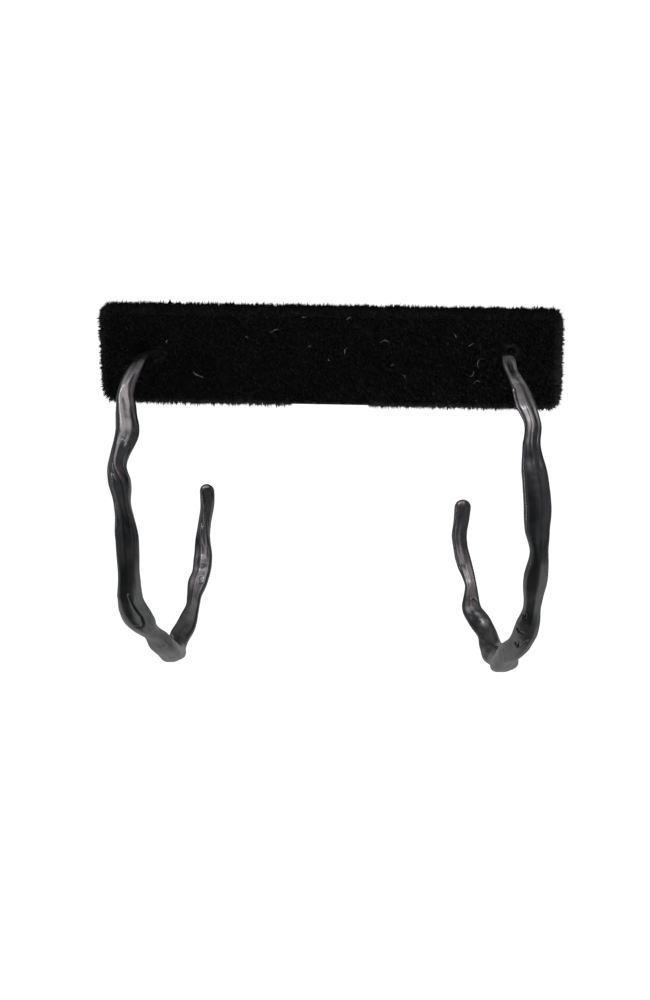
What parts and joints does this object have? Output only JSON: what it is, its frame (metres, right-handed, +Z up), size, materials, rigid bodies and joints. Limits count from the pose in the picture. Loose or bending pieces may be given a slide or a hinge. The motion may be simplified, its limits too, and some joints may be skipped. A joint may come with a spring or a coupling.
{
  "type": "earring display bar with hoop earrings",
  "caption": "Velvet-covered earring display bar carrying a pair of wavy open hoop earrings on straight posts, each held behind the bar by a butterfly clutch.",
  "frame": {"origin": "middle of the flat face under the bar where a display stand's stem joins it", "axes": "+X along the bar, -Y towards the shopper, +Z up"},
  "size_m": [0.089, 0.064, 0.0724],
  "materials": {
    "board": "raw fibreboard",
    "velvet": "black flocked velvet, short pile",
    "gunmetal": "polished gunmetal plating",
    "steel": "nickel-plated stamped sheet"
  },
  "bodies": {
    "bar": {"core_board": "board", "velvet_cover": "velvet", "velvet_back_panel": "velvet"},
    "left_stud": {"left_post": "gunmetal"},
    "left_ring": {"left_hoop": "gunmetal"},
    "left_nut": {"left_clutch": "steel"},
    "right_stud": {"right_post": "gunmetal"},
    "right_ring": {"right_hoop": "gunmetal"},
    "right_nut": {"right_clutch": "steel"}
  },
  "joints": [
    {"name": "left_draw", "type": "slide", "parent": "bar", "child": "left_stud", "axis": [0, -1, 0], "range_m": [0, 0.014]},
    {"name": "left_swing", "type": "hinge", "parent": "left_stud", "child": "left_ring", "pos_m": [-0.0334, -0.004, 0.01035], "axis": [0, 1, 0], "range_deg": [-25, 70]},
    {"name": "left_unclip", "type": "slide", "parent": "bar", "child": "left_nut", "axis": [0, 1, 0], "range_m": [0, 0.01]},
    {"name": "right_draw", "type": "slide", "parent": "bar", "child": "right_stud", "axis": [0, -1, 0], "range_m": [0, 0.014]},
    {"name": "right_swing", "type": "hinge", "parent": "right_stud", "child": "right_ring", "pos_m": [0.0351, -0.007, 0.01185], "axis": [0, -1, 0], "range_deg": [-25, 70]},
    {"name": "right_unclip", "type": "slide", "parent": "bar", "child": "right_nut", "axis": [0, 1, 0], "range_m": [0, 0.01]}
  ]
}
